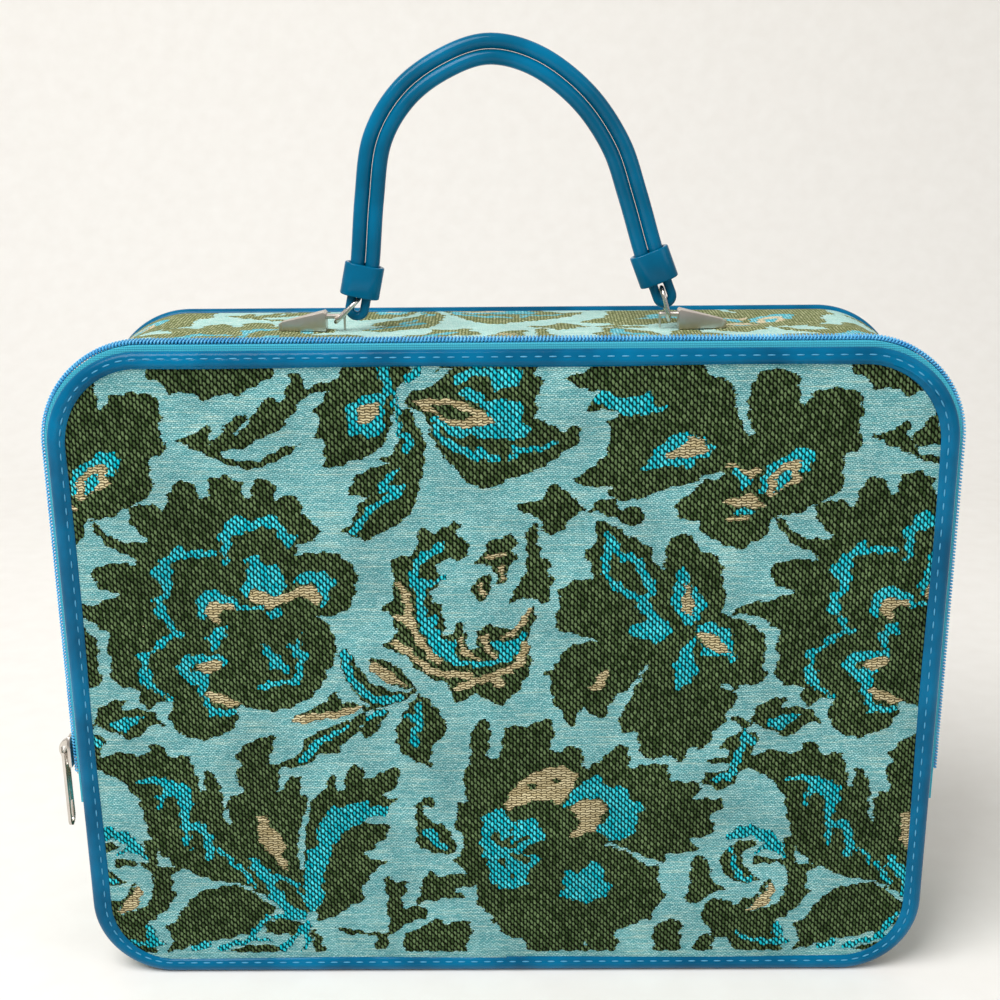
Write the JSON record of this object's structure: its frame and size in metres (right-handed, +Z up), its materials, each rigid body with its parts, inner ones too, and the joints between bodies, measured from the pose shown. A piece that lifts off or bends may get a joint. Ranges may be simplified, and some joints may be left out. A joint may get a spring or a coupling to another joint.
{
  "type": "carpet bag",
  "caption": "Upright tapestry overnight case with bound edges, a front flap closed by a zip round the top and sides, and a doubled tube handle on rings.",
  "frame": {"origin": "middle of the flat base that the case stands on, half way through its depth", "axes": "+X to the right seen from the front, +Y from the front to the back, +Z up"},
  "size_m": [0.3863, 0.108, 0.4082],
  "materials": {
    "tapestry": "woven jacquard tapestry",
    "vinyl": "glossy vinyl",
    "handle_vinyl": "satin vinyl",
    "zip_tape": "woven tape",
    "zip_coil": "nylon coil",
    "nickel": "nickel plated",
    "lining": "plain cloth",
    "board": "fibre board"
  },
  "bodies": {
    "case": {"gusset": "tapestry", "lining": "lining", "back_panel": "tapestry", "back_board": "board", "back_binding": "vinyl", "front_panel": "tapestry", "front_board": "board", "front_binding": "vinyl", "zip_tape_case": "zip_tape", "zip_coil_case": "zip_coil", "zip_stops": "nickel", "mount_left": "nickel", "mount_right": "nickel", "mount_plate_left": "nickel", "mount_plate_right": "nickel"},
    "flap": {"flap_panel": "tapestry", "flap_board": "board", "flap_lining": "lining", "flap_binding": "vinyl", "zip_tape_flap": "zip_tape", "zip_coil_flap": "zip_coil"},
    "slider": {"zip_slider": "nickel"},
    "pull": {"zip_pull": "nickel"},
    "handle": {"ring_left": "nickel", "ring_right": "nickel", "keeper_left": "handle_vinyl", "keeper_right": "handle_vinyl", "handle_tube": "handle_vinyl"}
  },
  "joints": [
    {"name": "flap_open", "type": "hinge", "parent": "case", "child": "flap", "pos_m": [0, -0.054, 0.084], "axis": [1, 0, 0], "range_deg": [0, 110]},
    {"name": "handle_swing", "type": "hinge", "parent": "case", "child": "handle", "pos_m": [0, 0, 0.2919], "axis": [1, 0, 0], "range_deg": [-80, 80]},
    {"name": "slider_travel", "type": "slide", "parent": "case", "child": "slider", "axis": [0, 0, 1], "range_m": [0, 0.125]},
    {"name": "pull_swing", "type": "hinge", "parent": "slider", "child": "pull", "pos_m": [-0.19405, -0.0446, 0.1072], "axis": [0, 1, 0], "range_deg": [0, 165]}
  ]
}
